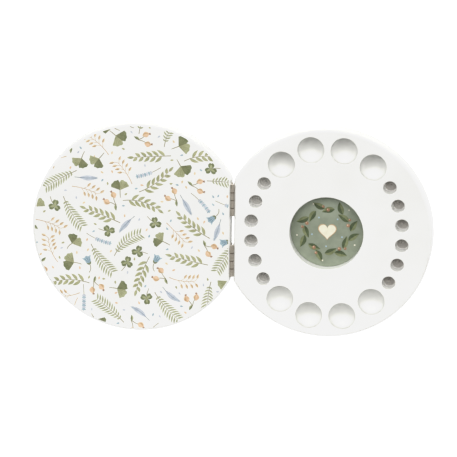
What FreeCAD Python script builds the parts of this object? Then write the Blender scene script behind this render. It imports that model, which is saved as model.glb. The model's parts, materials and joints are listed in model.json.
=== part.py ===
# Round keepsake box for milk teeth, lying open: a drilled base and a plain lid on two small butt hinges.
# Millimetres. X runs from the lid across the hinge to the base, Y runs along the hinge pins, Z is up.
# The origin lies on the table, under the hinge line, midway between the two hinges.

import FreeCAD, Part
import os
import Sketcher

DIMENSIONS = {
    # The two wooden halves
    "outline_radius": 60.0,
    "hinge_cut": 7.6,
    "board_thickness": 12.0,
    "edge_round": 1.2,
    "corner_round": 1.0,
    "closed_gap": 0.3,
    # Wells for front teeth, six in an arc on each side
    "front_radius": 3.75,
    "front_depth": 7.5,
    "front_arc": 54.8,
    "front_wall": 5.65,
    "front_pitch": 12.1,
    "drill_mark_radius": 1.0,
    "drill_mark_depth": 0.5,
    # Bowls for molars, four in an arc at each end
    "molar_radius": 7.55,
    "molar_depth": 7.0,
    "molar_arc": 38.5,
    "molar_rim": 3.45,
    "molar_pitch": 28.2,
    # Middle recess and the printed disc on its floor
    "recess_radius": 20.9,
    "recess_depth": 7.5,
    "liner_thickness": 1.0,
    "liner_clearance": 0.15,
    "mouth_round": 0.3,
    # Hinges
    "hinge_length": 18.0,
    "hinge_inset": 2.6,
    "knuckle_radius": 1.2,
    "knuckle_tuck": 0.2,
    "knuckle_play": 0.25,
    "notch_clearance": 0.25,
    "leaf_thickness": 0.6,
    "leaf_height": 7.2,
    "leaf_corner": 0.8,
    "pin_radius": 0.6,
    "pin_clearance": 0.04,
    "pin_proud": 0.25,
    # Wood screws
    "screw_head_radius": 1.5,
    "screw_radius": 0.8,
    "screw_length": 6.0,
    "screw_tip": 1.4,
    "screw_spread": 11.0,
    "screw_drop": 4.4,
    "screw_fit": 0.04,
    "slot_width": 0.45,
    "slot_depth": 0.35,
}

FRONT_WELLS_PER_SIDE = 6
MOLAR_BOWLS_PER_END = 4
KNUCKLES = 4

document = FreeCAD.newDocument("tooth_box")
sheet = document.addObject("Spreadsheet::Sheet", "Sheet")
for row, (alias, size) in enumerate(DIMENSIONS.items(), start=1):
    sheet.set(f"A{row}", alias)
    sheet.set(f"B{row}", str(size))
    sheet.setAlias(f"B{row}", alias)
document.recompute()

# Lengths worked out from the sheet
FLAT = "(Sheet.outline_radius - Sheet.hinge_cut)"
HALF_GAP = "(Sheet.knuckle_radius - Sheet.knuckle_tuck)"
CENTRE_X = f"({FLAT} + {HALF_GAP})"
AXIS_Z = "(Sheet.board_thickness + Sheet.closed_gap / 2)"
HALF_CHORD = "sqrt(2 * Sheet.outline_radius * Sheet.hinge_cut - Sheet.hinge_cut ^ 2)"
HINGE_Y = f"({HALF_CHORD} - Sheet.hinge_inset - Sheet.hinge_length / 2)"
LEAF_FACE = f"({HALF_GAP} - Sheet.leaf_thickness)"
FRONT_CROWN = f"({FLAT} - Sheet.front_wall - Sheet.front_radius)"
FRONT_ARC_X = f"({FRONT_CROWN} - Sheet.front_arc)"
MOLAR_CROWN = "(Sheet.outline_radius - Sheet.molar_rim - Sheet.molar_radius)"
MOLAR_ARC_Y = f"({MOLAR_CROWN} - Sheet.molar_arc)"
BORE_RADIUS = "(Sheet.pin_radius + Sheet.pin_clearance)"
PILOT_RADIUS = "(Sheet.screw_radius + Sheet.screw_fit)"
PILOT_DEPTH = "(Sheet.screw_length - Sheet.leaf_thickness + Sheet.screw_fit)"
SCREW_Z = f"({AXIS_Z} - Sheet.screw_drop)"

# Directions along the hinge line, as seen from above with the base on the right
HINGE_SIDES = {"upper": 1, "lower": -1}
SCREW_SIDES = (-1, 1)
TOLERANCE = 1e-6

nodes = []


def value(expression):
    return float(sheet.evalExpression(expression))


def point(x, y):
    return FreeCAD.Vector(value(x), value(y), 0)


def new_body(label):
    body = document.addObject("PartDesign::Body", label)
    body.Label = label
    nodes.append(body)
    return body


def bind_base(item, prop, x="0", y="0", z="0"):
    for axis, expression in (("x", x), ("y", y), ("z", z)):
        if expression != "0":
            item.setExpression(f"{prop}.Base.{axis}", expression)


def new_sketch(body, name, role, x="0", y="0", z="0"):
    sketch = body.newObject("Sketcher::SketchObject", name)
    plane = next(item for item in body.Origin.OriginFeatures if item.Role == role)
    sketch.AttachmentSupport = [(plane, "")]
    sketch.MapMode = "FlatFace"
    bind_base(sketch, "AttachmentOffset", x, y, z)
    return sketch


def bind(sketch, kind, *references, expression):
    index = sketch.addConstraint(Sketcher.Constraint(kind, *references, value(expression)))
    sketch.setExpression(f"Constraints[{index}]", expression)


def fix_point(sketch, curve, end, x, y):
    """Tie one point of a curve to the sketch's axes, or to lengths measured from its origin."""
    for kind, axis_curve, expression in (("DistanceX", -2, x), ("DistanceY", -1, y)):
        if expression == "0":
            sketch.addConstraint(Sketcher.Constraint("PointOnObject", curve, end, axis_curve))
        else:
            bind(sketch, kind, -1, 1, curve, end, expression=expression)


def add_circle(sketch, x, y, radius, construction=False):
    circle = Part.Circle(point(x, y), FreeCAD.Vector(0, 0, 1), value(radius))
    curve = sketch.addGeometry(circle, construction)
    bind(sketch, "Radius", curve, expression=radius)
    fix_point(sketch, curve, 3, x, y)


def arc_between(start, finish, centre, radius, clockwise):
    """Arc of a circle between two points; sketch arcs always run anticlockwise."""
    circle = Part.Circle(centre, FreeCAD.Vector(0, 0, 1), radius)
    first, last = (finish, start) if clockwise else (start, finish)
    return Part.ArcOfCircle(circle, circle.parameter(first), circle.parameter(last))


def add_outline(sketch, corners, arcs=None):
    """Close an outline through corners. arcs maps a corner's number to the arc that leaves it:
    its centre's x and y, its radius and whether it runs clockwise."""
    arcs = arcs or {}
    points = [point(x, y) for x, y in corners]
    start_ends = []
    finish_ends = []
    for index, start in enumerate(points):
        finish = points[(index + 1) % len(points)]
        if index in arcs:
            x, y, radius, clockwise = arcs[index]
            arc = arc_between(start, finish, point(x, y), value(radius), clockwise)
            curve = sketch.addGeometry(arc, False)
            start_ends.append((curve, 2 if clockwise else 1))
            finish_ends.append((curve, 1 if clockwise else 2))
            bind(sketch, "Radius", curve, expression=radius)
        else:
            curve = sketch.addGeometry(Part.LineSegment(start, finish), False)
            start_ends.append((curve, 1))
            finish_ends.append((curve, 2))
    for index, (x, y) in enumerate(corners):
        sketch.addConstraint(Sketcher.Constraint("Coincident", *finish_ends[index - 1], *start_ends[index]))
        fix_point(sketch, *start_ends[index], x, y)


def add_rectangle(sketch, left, bottom, right, top):
    add_outline(sketch, [(left, bottom), (right, bottom), (right, top), (left, top)])


def add_pad(body, name, sketch, length, symmetric=False):
    pad = body.newObject("PartDesign::Pad", name)
    pad.Profile = sketch
    pad.setExpression("Length", length)
    pad.SideType = "Symmetric" if symmetric else "One side"
    document.recompute()
    return pad


def new_cut(body, kind, name):
    """Start a cutting feature and note how much material the body has before it."""
    before = body.Shape.Volume
    return body.newObject(f"PartDesign::{kind}", name), before


def finish_cut(body, feature, before):
    """Recompute after a cutting feature and make sure that it took material away."""
    body.Tip = feature
    document.recompute()
    if not body.Shape.Volume < before - TOLERANCE:
        raise RuntimeError(f"{body.Label}: {feature.Name} cuts nothing")
    return feature


def add_pocket(body, name, sketch, length=None, towards_normal=False):
    pocket, before = new_cut(body, "Pocket", name)
    pocket.Profile = sketch
    pocket.Reversed = towards_normal
    if length is None:
        pocket.Type = "ThroughAll"
        pocket.SideType = "Symmetric"
    else:
        pocket.setExpression("Length", length)
    return finish_cut(body, pocket, before)


def add_groove(body, name, sketch):
    groove, before = new_cut(body, "Groove", name)
    groove.Profile = sketch
    groove.ReferenceAxis = (sketch, ["V_Axis"])
    groove.Angle = 360
    return finish_cut(body, groove, before)


def add_fillet(body, name, base, chosen, radius):
    edges = [f"Edge{index}" for index, edge in enumerate(base.Shape.Edges, start=1) if chosen(edge)]
    fillet = body.newObject("PartDesign::Fillet", name)
    fillet.Base = (base, edges)
    fillet.setExpression("Radius", radius)
    document.recompute()
    return fillet


def lies_flat(edge):
    return edge.BoundBox.ZLength < TOLERANCE


def stands_up(edge):
    return edge.BoundBox.XLength < TOLERANCE and edge.BoundBox.YLength < TOLERANCE


def foot_corner(shape):
    """Choose the short edges at the two lower corners of a hinge leaf."""
    lowest = shape.BoundBox.ZMin

    def chosen(edge):
        box = edge.BoundBox
        return box.YLength < TOLERANCE and box.ZMax - lowest < TOLERANCE

    return chosen


def screw_y(hinge, screw):
    return f"({hinge} * {HINGE_Y} + {screw} * Sheet.screw_spread / 2)"


def half_board(label, side):
    """Round board with a straight hinge edge. side is the direction of its middle from the hinge: 1 or -1."""
    body = new_body(label)
    bind_base(body, "Placement", x=f"{side} * {CENTRE_X}")
    sketch = new_sketch(body, f"{label}_outline", "XY_Plane")
    edge_x = f"{-side} * {FLAT}"
    lower_end = (edge_x, f"-{HALF_CHORD}")
    upper_end = (edge_x, HALF_CHORD)
    corners = [upper_end, lower_end] if side > 0 else [lower_end, upper_end]
    add_outline(sketch, corners, {1: ("0", "0", "Sheet.outline_radius", False)})
    pad = add_pad(body, f"{label}_board", sketch, "Sheet.board_thickness")
    corner = add_fillet(body, f"{label}_corners", pad, stands_up, "Sheet.corner_round")
    add_fillet(body, f"{label}_edges", corner, lies_flat, "Sheet.edge_round")
    pilots = new_sketch(body, f"{label}_pilot_circles", "YZ_Plane", z=edge_x)
    for hinge in HINGE_SIDES.values():
        for screw in SCREW_SIDES:
            add_circle(pilots, screw_y(hinge, screw), SCREW_Z, PILOT_RADIUS)
    add_pocket(body, f"{label}_pilots", pilots, PILOT_DEPTH, towards_normal=side > 0)
    return body


def well_profile(sketch, radius, depth, mark_radius=None, mark_depth=None):
    """Half section of a straight-sided well with a rounded mouth, and a drill's mark in its floor if it has one."""
    lip = "Sheet.mouth_round"
    wide = f"({radius} + {lip})"
    floor = [("0", f"-{depth}")]
    if mark_radius:
        floor = [("0", f"-({depth} + {mark_depth})"), (mark_radius, f"-{depth}")]
    wall = [(radius, f"-{depth}"), (radius, f"-{lip}"), (wide, "0"), (wide, lip), ("0", lip)]
    mouth = len(floor) + 1
    add_outline(sketch, floor + wall, {mouth: (wide, f"-{lip}", lip, True)})


def bowl_profile(sketch):
    """Half section of a round bowl whose mouth is rounded into the board's face."""
    lip = "Sheet.mouth_round"
    depth = "Sheet.molar_depth"
    ball = f"((Sheet.molar_radius ^ 2 + {depth} ^ 2) / (2 * {depth}))"
    ball_y = f"({ball} - {depth})"
    wide = f"sqrt(({ball} + {lip}) ^ 2 - ({ball_y} + {lip}) ^ 2)"
    share = f"{ball} / ({ball} + {lip})"
    meet = (f"{wide} * {share}", f"({ball_y} - ({ball_y} + {lip}) * {share})")
    corners = [("0", f"-{depth}"), meet, (wide, "0"), (wide, lip), ("0", lip)]
    arcs = {0: ("0", ball_y, ball, False), 1: (wide, f"-{lip}", lip, True)}
    add_outline(sketch, corners, arcs)


def arc_of_hollows(body, name, profile, arc_x, arc_y, arc_radius, direction, pitch, count):
    """Sink one hollow at the start of an arc and repeat it along the arc at an even pitch.
    direction is the angle from the arc's centre to its crown."""
    first = f"({direction} - {(count - 1) / 2} * {pitch})"
    start_x = f"({arc_x} + {arc_radius} * cos({first}))"
    start_y = f"({arc_y} + {arc_radius} * sin({first}))"
    section = new_sketch(body, f"{name}_section", "XZ_Plane", start_x, "Sheet.board_thickness", f"-{start_y}")
    profile(section)
    hollow = add_groove(body, f"{name}_first", section)
    pitch_arc = new_sketch(body, f"{name}_arc", "XY_Plane", arc_x, arc_y)
    add_circle(pitch_arc, "0", "0", arc_radius, construction=True)
    pattern, before = new_cut(body, "PolarPattern", name)
    pattern.Originals = [hollow]
    pattern.Axis = (pitch_arc, ["N_Axis"])
    pattern.setExpression("Angle", f"{count - 1} * {pitch}")
    pattern.Occurrences = count
    finish_cut(body, pattern, before)


def front_well(sketch):
    well_profile(
        sketch, "Sheet.front_radius", "Sheet.front_depth", "Sheet.drill_mark_radius", "Sheet.drill_mark_depth"
    )


def build_base():
    body = half_board("base_body", 1)
    recess = new_sketch(body, "recess_section", "XZ_Plane", y="Sheet.board_thickness")
    well_profile(recess, "Sheet.recess_radius", "Sheet.recess_depth")
    add_groove(body, "recess", recess)
    for name, sign, direction in (("far_wells", "", 0), ("hinge_side_wells", "-", 180)):
        arc_of_hollows(
            body, name, front_well, f"{sign}{FRONT_ARC_X}", "0",
            "Sheet.front_arc", direction, "Sheet.front_pitch", FRONT_WELLS_PER_SIDE,
        )
    for name, sign, direction in (("upper_bowls", "", 90), ("lower_bowls", "-", 270)):
        arc_of_hollows(
            body, name, bowl_profile, "0", f"{sign}{MOLAR_ARC_Y}",
            "Sheet.molar_arc", direction, "Sheet.molar_pitch", MOLAR_BOWLS_PER_END,
        )


def build_liner():
    body = new_body("recess_liner")
    bind_base(body, "Placement", x=CENTRE_X, z="Sheet.board_thickness - Sheet.recess_depth")
    sketch = new_sketch(body, "liner_circle", "XY_Plane")
    add_circle(sketch, "0", "0", "Sheet.recess_radius - Sheet.liner_clearance")
    add_pad(body, "liner_disc", sketch, "Sheet.liner_thickness")


def build_leaf(label, hinge, side):
    """Hinge leaf with its rolled knuckles. side is 1 on the base and -1 on the lid."""
    body = new_body(label)
    bind_base(body, "Placement", y=f"{hinge} * {HINGE_Y}", z=AXIS_Z)
    section = new_sketch(body, f"{label}_section", "XZ_Plane")
    inner = f"{side} * {LEAF_FACE}"
    outer = f"{side} * {HALF_GAP}"
    radius = "Sheet.knuckle_radius"
    foot = "-Sheet.leaf_height"
    corners = [
        (inner, foot),
        (outer, foot),
        (outer, f"-sqrt({radius} ^ 2 - {HALF_GAP} ^ 2)"),
        (inner, f"-sqrt({radius} ^ 2 - {LEAF_FACE} ^ 2)"),
    ]
    add_outline(section, corners, {2: ("0", "0", radius, side < 0)})
    add_circle(section, "0", "0", BORE_RADIUS)
    add_pad(body, f"{label}_rolled", section, "Sheet.hinge_length", symmetric=True)
    notches = new_sketch(body, f"{label}_notch_outlines", "YZ_Plane")
    first_notch = 1 if side > 0 else 0
    for knuckle in range(first_notch, KNUCKLES, 2):
        low = f"({knuckle / KNUCKLES - 0.5} * Sheet.hinge_length - Sheet.knuckle_play / 2)"
        high = f"({(knuckle + 1) / KNUCKLES - 0.5} * Sheet.hinge_length + Sheet.knuckle_play / 2)"
        add_rectangle(notches, low, f"-({radius} + Sheet.notch_clearance)", high, f"2 * {radius}")
    notched = add_pocket(body, f"{label}_notches", notches)
    add_fillet(body, f"{label}_corners", notched, foot_corner(notched.Shape), "Sheet.leaf_corner")
    for screw in SCREW_SIDES:
        cone, before = new_cut(body, "SubtractiveCone", f"{label}_screw_hole")
        cone.setExpression("Radius1", "Sheet.screw_head_radius + Sheet.screw_fit")
        cone.setExpression("Radius2", PILOT_RADIUS)
        cone.setExpression("Height", "Sheet.leaf_thickness")
        cone.Placement.Rotation = FreeCAD.Rotation(FreeCAD.Vector(0, 1, 0), side * 90)
        bind_base(cone, "Placement", inner, f"{screw} * Sheet.screw_spread / 2", "-Sheet.screw_drop")
        finish_cut(body, cone, before)


def build_pin(label, hinge):
    body = new_body(label)
    bind_base(body, "Placement", y=f"{hinge} * {HINGE_Y}", z=AXIS_Z)
    sketch = new_sketch(body, f"{label}_circle", "XZ_Plane")
    add_circle(sketch, "0", "0", "Sheet.pin_radius")
    length = "Sheet.hinge_length + 2 * Sheet.pin_proud"
    rod = add_pad(body, f"{label}_rod", sketch, length, symmetric=True)
    add_fillet(
        body, f"{label}_ends", rod, lambda edge: edge.BoundBox.YLength < TOLERANCE, "Sheet.pin_proud"
    )


def build_screws(label, hinge, side):
    """Pair of countersunk wood screws through one leaf, heads flush with the leaf's free face."""
    body = new_body(label)
    body.AllowCompound = True
    first_y = screw_y(hinge, SCREW_SIDES[0])
    bind_base(body, "Placement", f"{side} * {LEAF_FACE}", first_y, SCREW_Z)
    section = new_sketch(body, f"{label}_section", "XZ_Plane")
    tip = f"{side} * Sheet.screw_length"
    shoulder = f"{side} * (Sheet.screw_length - Sheet.screw_tip)"
    neck = f"{side} * Sheet.leaf_thickness"
    corners = [
        ("0", "0"),
        (tip, "0"),
        (shoulder, "Sheet.screw_radius"),
        (neck, "Sheet.screw_radius"),
        ("0", "Sheet.screw_head_radius"),
    ]
    add_outline(section, corners)
    turned = body.newObject("PartDesign::Revolution", f"{label}_turned")
    turned.Profile = section
    turned.ReferenceAxis = (section, ["H_Axis"])
    turned.Angle = 360
    document.recompute()
    slot = new_sketch(body, f"{label}_slot_outline", "YZ_Plane")
    reach = "(2 * Sheet.screw_head_radius)"
    half_slot = "(Sheet.slot_width / 2)"
    add_rectangle(slot, f"-{reach}", f"-{half_slot}", reach, half_slot)
    slotted = add_pocket(body, f"{label}_slot", slot, "Sheet.slot_depth", towards_normal=side > 0)
    pair = body.newObject("PartDesign::LinearPattern", f"{label}_pair")
    pair.Originals = [turned, slotted]
    along_hinge = next(item for item in body.Origin.OriginFeatures if item.Role == "Y_Axis")
    pair.Direction = (along_hinge, [""])
    pair.setExpression("Length", "Sheet.screw_spread")
    pair.Occurrences = len(SCREW_SIDES)
    body.Tip = pair
    document.recompute()


build_base()
half_board("lid_body", -1)
build_liner()
for hinge_name, hinge in HINGE_SIDES.items():
    build_leaf(f"{hinge_name}_hinge_base_leaf", hinge, 1)
    build_leaf(f"{hinge_name}_hinge_lid_leaf", hinge, -1)
    build_pin(f"{hinge_name}_hinge_pin", hinge)
    build_screws(f"{hinge_name}_hinge_base_screws", hinge, 1)
    build_screws(f"{hinge_name}_hinge_lid_screws", hinge, -1)
document.recompute()

for item in document.Objects:
    if "Invalid" in item.State or "Error" in item.State:
        raise RuntimeError(f"{item.Label} failed: {item.State}")
for node in nodes:
    if node.Shape.isNull() or not node.Shape.isValid():
        raise RuntimeError(f"{node.Label} has no valid shape")

os.makedirs("parts", exist_ok=True)
for node in nodes:
    node.Shape.exportStep(f"parts/{node.Label}.step")
    box = node.Shape.optimalBoundingBox()
    corners = [round(size, 3) for size in (box.XMin, box.XMax, box.YMin, box.YMax, box.ZMin, box.ZMax)]
    print(node.Label, len(node.Shape.Solids), "solids", round(node.Shape.Volume, 3), "mm3", corners)
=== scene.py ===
# Round tooth box lying open on a white table: the drilled base on the right, the printed lid on the left.
# Metres in the frame's own axes: X from the lid to the base, Y along the hinge, Z up.
# The prints are drawn in millimetres.

import json
import math
import random
from cmath import phase, rect

import bmesh
import bpy
from mathutils import Matrix, Vector


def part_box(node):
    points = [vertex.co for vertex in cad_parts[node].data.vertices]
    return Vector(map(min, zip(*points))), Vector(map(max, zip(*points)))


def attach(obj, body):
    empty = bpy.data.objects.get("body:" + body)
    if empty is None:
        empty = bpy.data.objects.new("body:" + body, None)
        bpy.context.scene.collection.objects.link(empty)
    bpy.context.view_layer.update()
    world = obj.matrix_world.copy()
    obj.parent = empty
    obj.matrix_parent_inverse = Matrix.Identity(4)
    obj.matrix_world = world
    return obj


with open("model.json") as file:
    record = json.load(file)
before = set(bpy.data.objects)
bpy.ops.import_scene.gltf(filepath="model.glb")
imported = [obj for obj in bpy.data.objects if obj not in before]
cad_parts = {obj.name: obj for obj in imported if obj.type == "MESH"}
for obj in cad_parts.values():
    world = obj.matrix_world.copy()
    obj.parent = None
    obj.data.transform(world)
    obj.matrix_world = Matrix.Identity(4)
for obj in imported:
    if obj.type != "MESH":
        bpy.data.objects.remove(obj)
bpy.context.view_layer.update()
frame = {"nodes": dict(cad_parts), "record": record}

MM = 0.001

# The boards and the disc in the recess
base_low, base_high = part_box("base_body")
lid_low, lid_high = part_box("lid_body")
liner_low, liner_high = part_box("recess_liner")
BOARD_RADIUS = (base_high.y - base_low.y) / 2
BOARD_TOP = base_high.z
BASE_CENTRE = Vector((base_high.x - BOARD_RADIUS, 0.0, BOARD_TOP))
LID_CENTRE = Vector((lid_low.x + BOARD_RADIUS, 0.0, lid_high.z))
LINER_CENTRE = (liner_low + liner_high) / 2
EDGE_ROUND = 1.2 * MM
MOUTH_ROUND = 0.3 * MM

# The wells and bowls, each about the middle of its box of free space
OPENINGS = frame["record"]["physics"]["openings"]
WELL_BOXES = [opening["box_m"] for opening in OPENINGS if "_well_" in opening["name"]]
BOWL_BOXES = [opening["box_m"] for opening in OPENINGS if "_bowl_" in opening["name"]]
BOX_ABOVE_FLOOR = 0.1 * MM
WELL_FLOOR = WELL_BOXES[0][0][2] - BOX_ABOVE_FLOOR
WELL_RADIUS = 3.75 * MM
BOWL_RADIUS = 7.55 * MM

# The wells' floors inside a soft and ragged edge of paint: darker board, partly bare and partly painted
# shade
BARE_RADIUS = 3.35 * MM
BARE_EDGE = 0.35 * MM
BARE_RAGGED = 0.25 * MM
RING_PITCH = 0.95 * MM
RING_DEPTH = 0.12
FAR_SIDE_SHADE_FADE = 30.0 * MM

# The hinges' barrels
hinge_low, hinge_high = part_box("upper_hinge_base_leaf")
HINGE_MIDDLE = (hinge_low.y + hinge_high.y) / 2
KNUCKLES = 4
KNUCKLE_LENGTH = (hinge_high.y - hinge_low.y) / KNUCKLES
KNUCKLE_RADIUS = 1.2 * MM
BARREL_FOOT = hinge_high.z - 2 * KNUCKLE_RADIUS

# The light, and the tone that each strength of it is shown as
TABLE_GLOW = 1.8
SKY_STRENGTH = 0.04
BRIGHTEST = 1.6
SHOULDER = (
    (0.3, 0.25),
    (0.6, 0.52),
    (0.8, 0.7),
    (1.0, 0.871),
    (1.12, 0.897),
    (1.3, 0.912),
    (1.42, 0.93),
)

# The photograph's camera, worked out from the places of the wells in it
IMAGE_PIXELS = 457
FOCAL_PIXELS = 7087
CAMERA_DISTANCE = 4.0
CAMERA_FROM_Y_AXIS = math.radians(21.18)
CAMERA_ELEVATION = math.radians(75.09)
CAMERA_ROLL = math.radians(0.571)
CAMERA_TARGET = Vector((-2.033 * MM, 1.1 * MM, BOARD_TOP))


# Node helpers


class Nodes:
    """A material's node tree with short ways to add and join nodes."""

    def __init__(self, name):
        self.material = bpy.data.materials.new(name)
        self.material.use_nodes = True
        self.tree = self.material.node_tree
        self.shader = self.tree.nodes["Principled BSDF"]
        source = self.add("ShaderNodeTexCoord")
        self.place = source.outputs["Object"]
        self.facing = source.outputs["Normal"]

    def add(self, kind, **values):
        node = self.tree.nodes.new(kind)
        for key, value in values.items():
            setattr(node, key, value)
        return node

    def join(self, output, target):
        self.tree.links.new(output, target)

    def stretched(self, scale):
        mapping = self.add("ShaderNodeMapping")
        mapping.inputs["Scale"].default_value = scale
        self.join(self.place, mapping.inputs["Vector"])
        return mapping.outputs["Vector"]

    def noise(self, scale, detail=3.0, roughness=0.5, vector=None):
        node = self.add("ShaderNodeTexNoise")
        node.inputs["Scale"].default_value = scale
        node.inputs["Detail"].default_value = detail
        node.inputs["Roughness"].default_value = roughness
        self.join(vector or self.place, node.inputs["Vector"])
        return node.outputs["Fac"]

    def ramp(self, factor, *stops):
        node = self.add("ShaderNodeValToRGB")
        elements = node.color_ramp.elements
        while len(elements) < len(stops):
            elements.new(0.5)
        for element, (position, colour) in zip(elements, stops):
            element.position = position
            element.color = (*colour, 1.0)
        self.join(factor, node.inputs["Fac"])
        return node.outputs["Color"]

    def spread(self, factor, low, high):
        node = self.add("ShaderNodeMapRange")
        node.inputs["To Min"].default_value = low
        node.inputs["To Max"].default_value = high
        self.join(factor, node.inputs["Value"])
        return node.outputs["Result"]

    def window(self, value, nothing, full):
        """0 up to one value and 1 from the other."""
        node = self.add("ShaderNodeMapRange")
        node.inputs["From Min"].default_value = nothing
        node.inputs["From Max"].default_value = full
        self.join(value, node.inputs["Value"])
        return node.outputs["Result"]

    def axis(self, name, vector=None):
        node = self.add("ShaderNodeSeparateXYZ")
        self.join(vector or self.place, node.inputs["Vector"])
        return node.outputs[name]

    def work_out(self, operation, first, second=0.0):
        """A value worked out from one or two others. The second may be a plain number."""
        node = self.add("ShaderNodeMath", operation=operation)
        self.join(first, node.inputs[0])
        if isinstance(second, float):
            node.inputs[1].default_value = second
        else:
            self.join(second, node.inputs[1])
        return node.outputs["Value"]

    def times(self, first, second):
        return self.work_out("MULTIPLY", first, second)

    def mix(self, factor, first, second):
        node = self.add("ShaderNodeMix", data_type="RGBA")
        for socket, source in ((0, factor), (6, first), (7, second)):
            if isinstance(source, (tuple, float)):
                node.inputs[socket].default_value = source
            else:
                self.join(source, node.inputs[socket])
        return node.outputs[2]

    def bump(self, height, strength, distance, normal=None):
        node = self.add("ShaderNodeBump")
        node.inputs["Strength"].default_value = strength
        node.inputs["Distance"].default_value = distance
        self.join(height, node.inputs["Height"])
        if normal:
            self.join(normal, node.inputs["Normal"])
        return node.outputs["Normal"]

    def finish(self, colour, roughness, normal=None):
        self.join(colour, self.shader.inputs["Base Color"])
        self.join(roughness, self.shader.inputs["Roughness"])
        if normal:
            self.join(normal, self.shader.inputs["Normal"])
        return self.material


def linear(red, green, blue):
    """Scene colour from the screen colour, each part 0 to 255."""
    parts = []
    for part in (red, green, blue):
        share = part / 255
        parts.append(share / 12.92 if share <= 0.04045 else ((share + 0.055) / 1.055) ** 2.4)
    return tuple(parts)


def opaque(red, green, blue):
    """Scene colour from the screen colour, with full cover."""
    return (*linear(red, green, blue), 1.0)


# Materials


def painted_wood():
    """Satin white paint on a wooden board, with a faint mottle, a trace of grain and a fine sprayed skin.
    In the wells the walls are painted lighter towards their foot, which is painted light, and inside a rim
    of paint each floor is darker, partly bare board and partly painted shade. The bowls carry painted
    shade."""
    paint = Nodes("painted_wood")
    off_axis = off_nearest_axis(paint, WELL_BOXES)
    mottle = paint.noise(45.0, detail=4.0)
    coat = paint.ramp(mottle, (0.3, linear(216, 216, 212)), (0.7, linear(222, 222, 218)))
    # Painted light: the wells' walls lighter towards their foot, as if lit there.
    coat = paint.mix(well_wall_light(paint, off_axis), coat, opaque(232, 231, 228))
    coat = bowl_painted_shade(paint, coat)
    colour = paint.mix(bare_and_shaded_floors(paint, off_axis), coat, bare_board_and_shade(paint, off_axis))
    grain = paint.noise(60.0, detail=5.0, roughness=0.6, vector=paint.stretched((14.0, 1.0, 14.0)))
    skin = paint.noise(1500.0, detail=2.0)
    normal = paint.bump(grain, 0.06, 0.2 * MM)
    normal = paint.bump(skin, 0.05, 0.05 * MM, normal)
    return paint.finish(colour, paint.spread(mottle, 0.42, 0.55), normal)


def bare_board_and_shade(paint, off_axis):
    """Grey-brown board, partly bare and partly painted shade, with the rings that a cutter left round each
    well's axis.
    It is paler near the hinge and darker on the far side, which is painted shade.
    """
    rings = paint.work_out("SINE", paint.times(off_axis, 2 * math.pi / RING_PITCH))
    fibre = paint.work_out("ADD", paint.noise(900.0, detail=4.0), paint.times(rings, RING_DEPTH))
    pale = paint.ramp(fibre, (0.3, linear(167, 165, 160)), (0.7, linear(195, 192, 187)))
    dark = paint.ramp(fibre, (0.3, linear(152, 148, 143)), (0.7, linear(179, 174, 168)))
    # Painted shade: the floors darker on the side away from the hinge.
    far_side = paint.window(paint.axis("X"), BASE_CENTRE.x - FAR_SIDE_SHADE_FADE, BASE_CENTRE.x + FAR_SIDE_SHADE_FADE)
    return paint.mix(far_side, pale, dark)


def off_nearest_axis(paint, hollows):
    """How far each point lies from the axis of the nearest of these hollows."""
    flat = paint.add("ShaderNodeCombineXYZ")
    paint.join(paint.axis("X"), flat.inputs["X"])
    paint.join(paint.axis("Y"), flat.inputs["Y"])
    nearest = None
    for low, high in hollows:
        reach = paint.add("ShaderNodeVectorMath", operation="DISTANCE")
        paint.join(flat.outputs["Vector"], reach.inputs[0])
        reach.inputs[1].default_value = ((low[0] + high[0]) / 2, (low[1] + high[1]) / 2, 0.0)
        distance = reach.outputs["Value"]
        nearest = paint.work_out("MINIMUM", nearest, distance) if nearest else distance
    return nearest


def bare_and_shaded_floors(paint, off_axis):
    """1 on the floors of the wells inside their painted rims, and 0 elsewhere."""
    ragged = paint.work_out("ADD", off_axis, paint.spread(paint.noise(700.0), -BARE_RAGGED, BARE_RAGGED))
    middle = paint.window(ragged, BARE_RADIUS + BARE_EDGE, BARE_RADIUS - BARE_EDGE)
    low = paint.window(paint.axis("Z"), WELL_FLOOR + 0.25 * MM, WELL_FLOOR + 0.05 * MM)
    above_foot = paint.window(paint.axis("Z"), WELL_FLOOR - 2.0 * MM, WELL_FLOOR - 1.0 * MM)
    return paint.times(paint.times(low, above_foot), middle)


def well_wall_light(paint, off_axis):
    """Where the wells' walls carry painted light: 0 near their mouths, rising to 1 at the foot of the
    walls.
    """
    sunk = paint.window(paint.axis("Z"), BOARD_TOP - 2.0 * MM, WELL_FLOOR)
    inside = paint.window(off_axis, WELL_RADIUS + 2 * MOUTH_ROUND, WELL_RADIUS + MOUTH_ROUND)
    return paint.times(sunk, inside)


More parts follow.
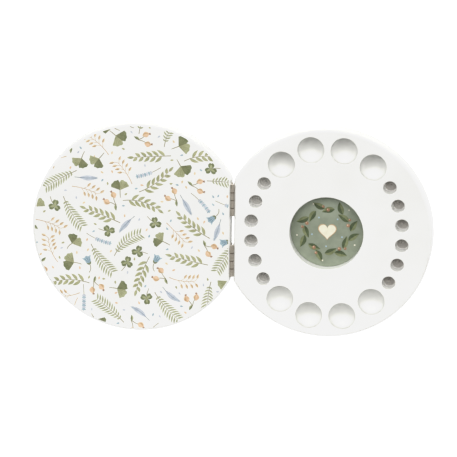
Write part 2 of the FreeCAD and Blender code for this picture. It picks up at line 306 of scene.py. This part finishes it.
def bowl_painted_shade(paint, coat):
    """The coat with painted shade in the bowls: a little greyer in the middle of the upper row, and a
    darker line under every rim on the walls that face along Y."""
    off_axis = off_nearest_axis(paint, BOWL_BOXES)
    share = paint.times(off_axis, 1.0 / BOWL_RADIUS)
    # Painted shade: the bowls of the upper row greyer towards their middle.
    upper_row_shade = paint.ramp(share, (0.6, linear(205, 205, 201)), (0.92, linear(220, 220, 216)))
    inside = paint.window(off_axis, BOWL_RADIUS, BOWL_RADIUS - MOUTH_ROUND)
    upper_row = paint.window(paint.axis("Y"), 0.0, BOARD_RADIUS / 2)
    above_foot = paint.window(paint.axis("Z"), 1.0 * MM, 3.0 * MM)
    in_upper_row = paint.times(paint.times(inside, upper_row), above_foot)
    coat = paint.mix(in_upper_row, coat, upper_row_shade)
    # Painted shade: a darker line just under each bowl's rim, on the walls that face along Y.
    near_top = paint.window(paint.axis("Z"), BOARD_TOP - 3.6 * MM, BOARD_TOP - 1.4 * MM)
    off_face = paint.window(off_axis, BOWL_RADIUS + 0.2 * MM, BOWL_RADIUS)
    facing_along_y = paint.work_out("ABSOLUTE", paint.axis("Y", paint.facing))
    walls_facing_y = paint.window(facing_along_y, 0.45, 0.85)
    rim_shade = paint.times(paint.times(near_top, off_face), walls_facing_y)
    return paint.mix(rim_shade, coat, opaque(194, 194, 190))


def dull_metal(name, dark, light):
    """Plated steel gone dull, drawn along its length and blotched with tarnish; painted shade where
    knuckles meet.
    """
    metal = Nodes(name)
    tarnish = metal.noise(420.0, detail=5.0, roughness=0.65)
    lines = metal.noise(2200.0, detail=2.0, vector=metal.stretched((1.0, 0.06, 1.0)))
    clean = metal.ramp(lines, (0.25, dark), (0.75, light))
    brown = opaque(104, 92, 72)
    joint_shade = opaque(112, 102, 88)
    colour = metal.mix(metal.spread(tarnish, 0.0, 0.8), clean, brown)
    # Painted shade in the gaps where the knuckles meet.
    colour = metal.mix(knuckle_joints(metal), colour, joint_shade)
    metal.shader.inputs["Metallic"].default_value = 0.6
    return metal.finish(colour, metal.spread(tarnish, 0.34, 0.6), metal.bump(lines, 0.15, 0.03 * MM))


def knuckle_joints(metal):
    """1 where the knuckles of either hinge meet, and 0 on the rest of the barrel and on the leaves."""
    along = metal.work_out("SUBTRACT", metal.work_out("ABSOLUTE", metal.axis("Y")), HINGE_MIDDLE)
    off_middle = metal.work_out("ABSOLUTE", along)
    off_joint = metal.work_out("PINGPONG", off_middle, KNUCKLE_LENGTH / 2)
    at_joint = metal.window(off_joint, 0.4 * MM, 0.15 * MM)
    off_ends = metal.window(off_middle, 1.6 * KNUCKLE_LENGTH, 1.4 * KNUCKLE_LENGTH)
    on_barrel = metal.window(metal.axis("Z"), BARREL_FOOT - 0.1 * MM, BARREL_FOOT + 0.1 * MM)
    return metal.times(metal.times(at_joint, off_ends), on_barrel)


def printed_card():
    """Matt card printed in a soft green wash, with its fibres just showing.
    Towards +Y it is painted paler: painted light against the shade under the recess's upper wall.
    """
    card = Nodes("printed_card")
    wash = card.noise(160.0, detail=5.0, roughness=0.6)
    deep = card.ramp(wash, (0.3, linear(119, 126, 109)), (0.7, linear(135, 142, 125)))
    pale = card.ramp(wash, (0.3, linear(147, 155, 137)), (0.7, linear(163, 171, 153)))
    # Painted light: the wash paler towards +Y, where the recess's upper wall casts its shade.
    colour = card.mix(card.window(card.axis("Y"), 7.0 * MM, 18.0 * MM), deep, pale)
    fibre = card.noise(2600.0, detail=3.0)
    return card.finish(colour, card.spread(wash, 0.7, 0.85), card.bump(fibre, 0.12, 0.03 * MM))


def ink(name, deep, pale):
    """Printed ink that runs from a deep to a pale tone, as a brushed wash does."""
    print_ink = Nodes("ink_" + name)
    wash = print_ink.noise(380.0, detail=4.0, roughness=0.6)
    colour = print_ink.ramp(wash, (0.3, linear(*deep)), (0.72, linear(*pale)))
    return print_ink.finish(colour, print_ink.spread(wash, 0.5, 0.65))


def table_paper():
    """White paper table that glows a little, so that shadows on it stay faint."""
    paper = Nodes("table_paper")
    fibre = paper.noise(90.0, detail=4.0)
    colour = paper.ramp(fibre, (0.3, linear(150, 150, 150)), (0.7, linear(156, 156, 156)))
    paper.shader.inputs["Emission Color"].default_value = (1.0, 1.0, 1.0, 1.0)
    paper.shader.inputs["Emission Strength"].default_value = TABLE_GLOW
    return paper.finish(colour, paper.spread(fibre, 0.85, 0.95))


INKS = {
    "sage": ((137, 141, 105), (166, 168, 134)),
    "sage_deep": ((95, 102, 68), (124, 130, 95)),
    "moss": ((142, 140, 101), (177, 175, 137)),
    "olive": ((115, 108, 77), (145, 136, 105)),
    "straw": ((195, 173, 137), (215, 198, 166)),
    "ochre": ((165, 137, 101), (192, 165, 129)),
    "peach": ((193, 162, 129), (216, 191, 163)),
    "terracotta": ((125, 92, 69), (154, 120, 94)),
    "dusty_blue": ((133, 154, 165), (164, 183, 190)),
    "deep_blue": ((67, 86, 102), (99, 120, 134)),
    "mauve": ((167, 172, 181), (193, 197, 204)),
    "cream": ((206, 202, 182), (220, 216, 198)),
    "fir": ((56, 67, 42), (82, 93, 62)),
}


# Drawing the prints, in millimetres on the complex plane


def stem_line(length, bend, steps=12):
    """Points of a stem that starts at 0 and turns by bend over its length."""
    points = [0j]
    for step in range(steps):
        turn = bend * ((step + 0.5) / steps - 0.5)
        points.append(points[-1] + rect(length / steps, turn))
    return points


def ribbon(points, start_width, end_width):
    """Outline of a stroke along the points that narrows from one width to the other."""
    left = []
    right = []
    last = len(points) - 1
    for index, point in enumerate(points):
        ahead = points[min(index + 1, last)] - points[max(index - 1, 0)]
        across = 1j * ahead / abs(ahead)
        half = (start_width + (end_width - start_width) * index / last) / 2
        left.append(point + half * across)
        right.append(point - half * across)
    return left + right[::-1]


def leaf(length, width, bend=0.0, low_side=1.0, fullness=0.8, steps=9):
    """Outline of a pointed leaf along its own stem line. A small low_side leaves only the upper half."""
    points = stem_line(length, bend, steps)
    left = []
    right = []
    for index in range(1, steps):
        ahead = points[index + 1] - points[index - 1]
        across = 1j * ahead / abs(ahead)
        half = width / 2 * math.sin(math.pi * (index / steps) ** fullness)
        left.append(points[index] + half * across)
        right.append(points[index] - low_side * half * across)
    return [points[0]] + right + [points[-1]] + left[::-1]


def disc(centre, radius, steps=16):
    return [centre + rect(radius, 2 * math.pi * step / steps) for step in range(steps)]


def moved(outline, at, angle=0.0):
    return [at + point * rect(1.0, angle) for point in outline]


def heading(points, index):
    last = len(points) - 1
    return phase(points[min(index + 1, last)] - points[max(index - 1, 0)])


def two_tone_leaf(length, width, bend, at, angle, light, dark):
    """A leaf in a light ink with its upper half in a darker one."""
    whole = leaf(length, width, bend)
    half = leaf(length, width, bend, low_side=0.08)
    return [(light, moved(whole, at, angle)), (dark, moved(half, at, angle))]


def willow_sprig(draw):
    spine = stem_line(21.0, draw.uniform(-0.9, 0.9))
    shapes = [("olive", ribbon(spine, 0.4, 0.2))]
    for index in range(2, 12):
        side = 1 if index % 2 else -1
        length = 6.2 - 0.25 * index
        angle = heading(spine, index) + side * 0.7
        shapes += two_tone_leaf(length, 1.7, -0.5 * side, spine[index], angle, "moss", "sage")
    shapes += two_tone_leaf(4.0, 1.5, 0.0, spine[12], heading(spine, 12), "moss", "sage")
    return shapes


def ginkgo_leaf(draw):
    """A fan with a cleft, one half darker, and veins that spread from its stalk."""
    reach = draw.uniform(5.4, 6.6)
    spread = 1.2
    rim = []
    steps = 36
    for step in range(steps + 1):
        turn = spread * (2 * step / steps - 1)
        cleft = 1.9 * math.exp(-(turn / 0.08) ** 2)
        wave = 0.16 * math.sin(15 * turn) - 0.5 * abs(turn / spread) ** 4
        rim.append(rect(reach + wave - cleft, turn))
    stalk = stem_line(4.4, draw.uniform(-0.8, 0.8), steps=6)
    shapes = [("olive", moved(ribbon(stalk, 0.45, 0.3), 0j, math.pi))]
    shapes.append(("sage", [0j] + rim))
    shapes.append(("sage_deep", [0j] + rim[steps // 2:]))
    for step in range(-4, 5):
        turn = spread * step / 4.6
        vein = [rect(1.0, turn), rect(reach * 0.82, turn)]
        shapes.append(("olive", ribbon(vein, 0.1, 0.18)))
    return shapes


def fern_frond(draw):
    spine = stem_line(20.0, draw.uniform(-0.9, 0.9), steps=12)
    shapes = [("olive", ribbon(spine, 0.4, 0.15))]
    for index in range(2, 13):
        length = 4.8 * math.sin(math.pi * (0.25 + 0.72 * (1 - index / 13)))
        for side in (-1, 1):
            blade = leaf(max(length, 0.9), 0.85, -0.4 * side, steps=6)
            shapes.append(("sage", moved(blade, spine[index], heading(spine, index) + side * 1.0)))
    return shapes


def oat_spray(draw):
    """Drooping grains on fine stalks that leave the stem by turns."""
    spine = stem_line(15.0, draw.uniform(-0.7, 0.7), steps=11)
    shapes = [("ochre", ribbon(spine, 0.35, 0.18))]
    for index in range(4, 12):
        side = 1 if index % 2 else -1
        ahead = heading(spine, index)
        hang = spine[index] + rect(3.0 - 0.1 * index, ahead + side * 0.75)
        shapes.append(("ochre", ribbon([spine[index], hang], 0.2, 0.14)))
        shapes += two_tone_leaf(2.9, 1.25, 0.0, hang, ahead + side * 1.1, "straw", "ochre")
    return shapes


def rose_hips(draw):
    shapes = []
    for side in (-1, 1):
        reach = draw.uniform(4.0, 5.2)
        berry = complex(reach, side * 2.2)
        stalk = [0j, complex(reach * 0.5, side * 0.8), berry]
        shapes.append(("olive", ribbon(stalk, 0.4, 0.3)))
        shapes.append(("peach", moved(leaf(4.2, 3.3, 0.0, fullness=1.0), berry - 1.6, 0.3 * side)))
        shapes.append(("ochre", moved(leaf(3.6, 2.6, 0.0, low_side=-0.35), berry - 1.3, 0.3 * side)))
        for turn in (-0.5, 0.0, 0.5):
            crown = leaf(1.3, 0.5, steps=5)
            shapes.append(("terracotta", moved(crown, berry + rect(2.2, 0.3 * side), 0.3 * side + turn)))
    shapes += two_tone_leaf(3.6, 1.5, 0.4, complex(0.6, 0.0), math.pi * 0.8, "sage", "sage_deep")
    return shapes


def bellflower(draw):
    spine = stem_line(5.0, draw.choice((-1.2, 1.2)), steps=8)
    end = heading(spine, 8)
    right_half = [0.5 - 0.6j, 1.6 - 1.5j, 3.4 - 1.8j, 5.0 - 2.7j, 4.6 - 1.4j, 5.5 + 0j]
    left_half = [point.conjugate() for point in right_half[-2::-1]]
    shapes = [("olive", ribbon(spine, 0.35, 0.35))]
    shapes.append(("dusty_blue", moved(right_half + left_half, spine[8], end)))
    for turn in (-0.32, 0.0, 0.32):
        streak = [spine[8] + rect(1.2, end + turn), spine[8] + rect(4.3, end + turn)]
        shapes.append(("deep_blue", ribbon(streak, 0.1, 0.34)))
    for side in (-1, 1):
        shapes.append(("sage_deep", moved(leaf(2.0, 0.9), spine[8], end + 0.75 * side)))
    return shapes


def clover(draw):
    lobes = []
    steps = 60
    for step in range(steps):
        angle = 2 * math.pi * step / steps
        swell = abs(math.cos(1.5 * angle)) ** 0.55
        notch = 0.16 * max(0.0, math.cos(3 * angle)) ** 12
        lobes.append(rect(0.5 + 3.2 * (swell - notch), angle))
    shapes = [("olive", ribbon([0j, -2.8 + 0.6j, -5.6 + 2.0j], 0.4, 0.3)), ("sage_deep", lobes)]
    for third in range(3):
        angle = 2 * math.pi * third / 3
        shapes.append(("sage", moved(leaf(2.8, 1.3), 0j, angle)))
    return shapes


def lavender(draw):
    spine = stem_line(14.0, draw.uniform(-0.5, 0.5))
    shapes = [("olive", ribbon(spine, 0.3, 0.2))]
    for index in range(5, 13):
        for side in (-0.9, 0.0, 0.9):
            bud = leaf(1.6, 0.8, steps=6)
            name = "mauve" if index % 2 else "dusty_blue"
            shapes.append((name, moved(bud, spine[index], heading(spine, index) + side)))
    return shapes


def grass_tuft(draw):
    shapes = []
    for blade in range(6):
        name = "moss" if blade % 2 else "sage"
        lean = 0.3 * (blade - 2.5)
        bend = lean * draw.uniform(0.8, 1.8)
        shapes.append((name, moved(leaf(draw.uniform(6.5, 9.5), 0.6, bend), 0j, lean)))
    return shapes


def feather(draw):
    """A pale vane with fine barbs along its quill."""
    bend = draw.uniform(-0.6, 0.6)
    spine = stem_line(11.0, bend)
    shapes = [("mauve", leaf(11.0, 3.0, bend, fullness=0.9, steps=12))]
    for index in range(2, 11):
        for side in (-1, 1):
            barb = [spine[index], spine[index] + rect(1.5, heading(spine, index) + side * 0.6)]
            shapes.append(("dusty_blue", ribbon(barb, 0.14, 0.08)))
    quill = [-2.6 * rect(1.0, heading(spine, 0))] + spine
    shapes.append(("deep_blue", ribbon(quill, 0.22, 0.08)))
    return shapes


def seed(draw):
    name = draw.choice(("peach", "dusty_blue", "straw", "mauve", "moss"))
    return [(name, leaf(2.0, 1.0, draw.uniform(-0.6, 0.6), steps=7))]


LID_MOTIFS = (
    (willow_sprig, 10),
    (fern_frond, 11),
    (oat_spray, 11),
    (feather, 6),
    (lavender, 7),
    (ginkgo_leaf, 15),
    (rose_hips, 12),
    (clover, 9),
    (bellflower, 13),
    (grass_tuft, 18),
    (seed, 90),
)
PRINT_SEED = 11
PLACE_TRIES = 1200
CELL = 0.8
CELLS_APART = 1
CLEAN_CUT = 2
MOST_CUTS = 12


def cells_of(shapes):
    """The cells of a square grid that the shapes' points fall in."""
    points = [point for _, outline in shapes for point in outline]
    return {(round(point.real / CELL), round(point.imag / CELL)) for point in points}


def depth_inside(point, start, end):
    """Above 0 on the left of the line from start to end."""
    return ((end - start).conjugate() * (point - start)).imag


def crossings(outline, edge):
    """How often an outline goes over a convex edge."""
    inside = []
    for point in outline:
        sides = zip(edge, edge[1:] + edge[:1])
        inside.append(all(depth_inside(point, start, end) >= 0 for start, end in sides))
    return sum(here != there for here, there in zip(inside, inside[1:] + inside[:1]))


def scattered(motifs, reach, edge):
    """The motifs strewn over a disc at any turn, each clear of the ones already laid."""
    draw = random.Random(PRINT_SEED)
    steps = range(-CELLS_APART, CELLS_APART + 1)
    taken = set()
    strewn = []
    for motif, count in motifs:
        for _ in range(count):
            laid = laid_clear(draw, motif(draw), reach, edge, taken)
            if laid:
                strewn.append(laid)
                taken |= {(x + dx, y + dy) for x, y in cells_of(laid) for dx in steps for dy in steps}
    return strewn


def laid_clear(draw, shapes, reach, edge, taken):
    """The shapes at the first place tried that is free and that the edge cuts cleanly, or nothing."""
    for _ in range(PLACE_TRIES):
        at = rect(reach * math.sqrt(draw.random()), draw.uniform(0.0, 2 * math.pi))
        angle = draw.uniform(0.0, 2 * math.pi)
        laid = [(name, moved(outline, at, angle)) for name, outline in shapes]
        if not taken.isdisjoint(cells_of(laid)):
            continue
        cuts = [crossings(outline, edge) for _, outline in laid]
        if max(cuts) <= CLEAN_CUT and sum(cuts) <= MOST_CUTS:
            return laid
    return None


def clipped(outline, edge):
    """The part of an outline inside a convex edge that runs anticlockwise."""
    for index, start in enumerate(edge):
        end = edge[(index + 1) % len(edge)]
        kept = []
        for here, there in zip(outline, outline[1:] + outline[:1]):
            depth_here = depth_inside(here, start, end)
            depth_there = depth_inside(there, start, end)
            if depth_here >= 0:
                kept.append(here)
            if depth_here * depth_there < 0:
                kept.append(here + (there - here) * depth_here / (depth_here - depth_there))
        outline = kept
        if not outline:
            break
    return outline


def lid_edge():
    """The lid's flat inner face inside its rounded edge, about the lid's centre."""
    radius = (BOARD_RADIUS - EDGE_ROUND) / MM
    flat = (lid_high.x - LID_CENTRE.x - EDGE_ROUND) / MM
    corner = math.acos(flat / radius)
    steps = 120
    sweep = 2 * math.pi - 2 * corner
    return [rect(radius, corner + sweep * step / steps) for step in range(steps + 1)]


INK_THICKNESS = 0.02 * MM
INK_LAYER = 0.003 * MM
INK_SUNK = 0.005 * MM
LEAST_OUTLINE = 3


def print_piece(name, groups, centre, body, edge=None):
    """A printed picture as thin closed slips of ink on the face at centre.
    In each group of shapes the later slips lie on the earlier ones."""
    mesh = bpy.data.meshes.new(name)
    names = sorted({ink_name for shapes in groups for ink_name, _ in shapes})
    for ink_name in names:
        mesh.materials.append(inks[ink_name])
    build = bmesh.new()
    for shapes in groups:
        for layer, (ink_name, outline) in enumerate(shapes):
            if edge:
                outline = clipped(outline, edge)
            if len(outline) < LEAST_OUTLINE:
                continue
            add_slip(build, outline, centre, INK_THICKNESS + layer * INK_LAYER, names.index(ink_name))
    build.to_mesh(mesh)
    build.free()
    piece = bpy.data.objects.new(name, mesh)
    bpy.context.scene.collection.objects.link(piece)
    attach(piece, body)


def add_slip(build, outline, centre, height, material_index):
    top = []
    bottom = []
    for point in outline:
        flat = centre + Vector((point.real * MM, point.imag * MM, 0.0))
        top.append(build.verts.new(flat + Vector((0.0, 0.0, height))))
        bottom.append(build.verts.new(flat - Vector((0.0, 0.0, INK_SUNK))))
    faces = [build.faces.new(top), build.faces.new(bottom[::-1])]
    for index in range(len(outline)):
        after = (index + 1) % len(outline)
        faces.append(build.faces.new((bottom[index], bottom[after], top[after], top[index])))
    for face in faces:
        face.material_index = material_index


def heart_outline(scale, steps=48):
    """Outline of a heart that runs anticlockwise."""
    points = []
    for step in range(steps):
        turn = 2 * math.pi * step / steps
        across = 16 * math.sin(turn) ** 3
        up = 13 * math.cos(turn) - 5 * math.cos(2 * turn) - 2 * math.cos(3 * turn) - math.cos(4 * turn)
        points.append(complex(across, up) * scale)
    return points[::-1]


def recess_picture():
    """A wreath of leaves and berries round a heart, about the middle of the recess."""
    shapes = []
    ring = 13.2
    places = 15
    clusters = 5
    for index in range(places):
        angle = 2 * math.pi * index / places
        at = rect(ring, angle)
        side = 1 if index % 2 else -1
        lean = angle + math.pi / 2 + 0.55 * side
        shapes += two_tone_leaf(7.6, 3.5, 0.5 * side, at, lean, "sage_deep", "fir")
    for index in range(clusters):
        angle = 2 * math.pi * (index + 0.3) / clusters
        for offset, radius in ((-0.9, 1.0), (1.1, 0.8)):
            at = rect(ring + offset, angle + 0.1 * offset)
            shapes.append(("terracotta", disc(at, radius)))
            shapes.append(("peach", disc(at + complex(-0.3, 0.3), radius * 0.35, steps=10)))
        shapes.append(("dusty_blue", disc(rect(ring - 4.2, angle + 0.5), 0.5, steps=10)))
        shapes.append(("cream", disc(rect(ring + 4.2, angle + 0.42), 0.45, steps=10)))
    heart = heart_outline(0.3)
    shapes.append(("ochre", [point * 1.1 for point in heart]))
    shapes.append(("cream", heart))
    return [shapes]


# The object

inks = {name: ink(name, deep, pale) for name, (deep, pale) in INKS.items()}
board_paint = painted_wood()
hinge_metal = dull_metal("hinge_metal", linear(186, 178, 165), linear(226, 219, 207))
screw_metal = dull_metal("screw_metal", linear(158, 151, 141), linear(202, 195, 185))
recess_card = printed_card()


def material_for(node_name):
    if node_name.endswith("_body"):
        return board_paint
    if node_name == "recess_liner":
        return recess_card
    if node_name.endswith("_screws"):
        return screw_metal
    return hinge_metal


for node_name, node in frame["nodes"].items():
    node.data.materials.clear()
    node.data.materials.append(material_for(node_name))

printed_edge = lid_edge()
strewn_motifs = scattered(LID_MOTIFS, BOARD_RADIUS / MM, printed_edge)
print_piece("lid_print", strewn_motifs, LID_CENTRE, "lid", printed_edge)
recess_face = Vector((LINER_CENTRE.x, LINER_CENTRE.y, liner_high.z))
print_piece("recess_print", recess_picture(), recess_face, "base")


# The table, the light and the camera


def add_table():
    size = 6.0
    mesh = bpy.data.meshes.new("table")
    corners = ((-1, -1), (1, -1), (1, 1), (-1, 1))
    mesh.from_pydata([(size * x, size * y, 0.0) for x, y in corners], [], [(0, 1, 2, 3)])
    mesh.materials.append(table_paper())
    table = bpy.data.objects.new("table", mesh)
    bpy.context.scene.collection.objects.link(table)


def direction(from_y_axis, elevation):
    """The way from the object to what stands at this bearing and height, both in radians."""
    flat = math.cos(elevation)
    return Vector((math.sin(from_y_axis) * flat, math.cos(from_y_axis) * flat, math.sin(elevation)))


def add_lamp(name, from_y_axis, elevation, distance, width, height, power):
    """A soft rectangular light that looks at the object from a bearing and a height, both in degrees."""
    lamp = bpy.data.lights.new(name, "AREA")
    lamp.shape = "RECTANGLE"
    lamp.size = width
    lamp.size_y = height
    lamp.energy = power
    holder = bpy.data.objects.new(name, lamp)
    back = direction(math.radians(from_y_axis), math.radians(elevation))
    turn = back.to_track_quat("Z", "Y").to_matrix().to_4x4()
    holder.matrix_world = Matrix.Translation(back * distance) @ turn
    holder.visible_camera = False
    bpy.context.scene.collection.objects.link(holder)


def add_camera():
    back = direction(CAMERA_FROM_Y_AXIS, CAMERA_ELEVATION)
    level = Vector((0.0, 1.0, 0.0)).cross(back).normalized()
    upright = back.cross(level)
    right = math.cos(CAMERA_ROLL) * level + math.sin(CAMERA_ROLL) * upright
    up = math.cos(CAMERA_ROLL) * upright - math.sin(CAMERA_ROLL) * level
    camera = bpy.data.cameras.new("camera")
    camera.sensor_width = 36.0
    camera.lens = FOCAL_PIXELS * camera.sensor_width / IMAGE_PIXELS
    camera.clip_end = 20.0
    holder = bpy.data.objects.new("camera", camera)
    turn = Matrix((right, up, back)).transposed().to_4x4()
    holder.matrix_world = Matrix.Translation(CAMERA_TARGET + CAMERA_DISTANCE * back) @ turn
    bpy.context.scene.collection.objects.link(holder)
    bpy.context.scene.camera = holder


def add_sky(strength):
    world = bpy.data.worlds.new("sky")
    world.use_nodes = True
    sky = world.node_tree.nodes["Background"]
    sky.inputs["Color"].default_value = (1.0, 1.0, 1.0, 1.0)
    sky.inputs["Strength"].default_value = strength
    bpy.context.scene.world = world


def soften_highlights():
    """A camera's gentle shoulder: the brightest paint nears white without burning out."""
    view = bpy.context.scene.view_settings
    view.view_transform = "Standard"
    view.use_curve_mapping = True
    tone = view.curve_mapping
    tone.white_level = (BRIGHTEST, BRIGHTEST, BRIGHTEST)
    tone.use_clip = True
    for light, shown in SHOULDER:
        tone.curves[3].points.new(light / BRIGHTEST, shown)
    tone.update()


add_table()
add_sky(SKY_STRENGTH)
add_lamp("key", from_y_axis=0.0, elevation=53.0, distance=1.6, width=3.2, height=1.6, power=74.0)
add_lamp("fill", from_y_axis=180.0, elevation=22.0, distance=0.13, width=0.6, height=0.08, power=0.17)
add_camera()
soften_highlights()
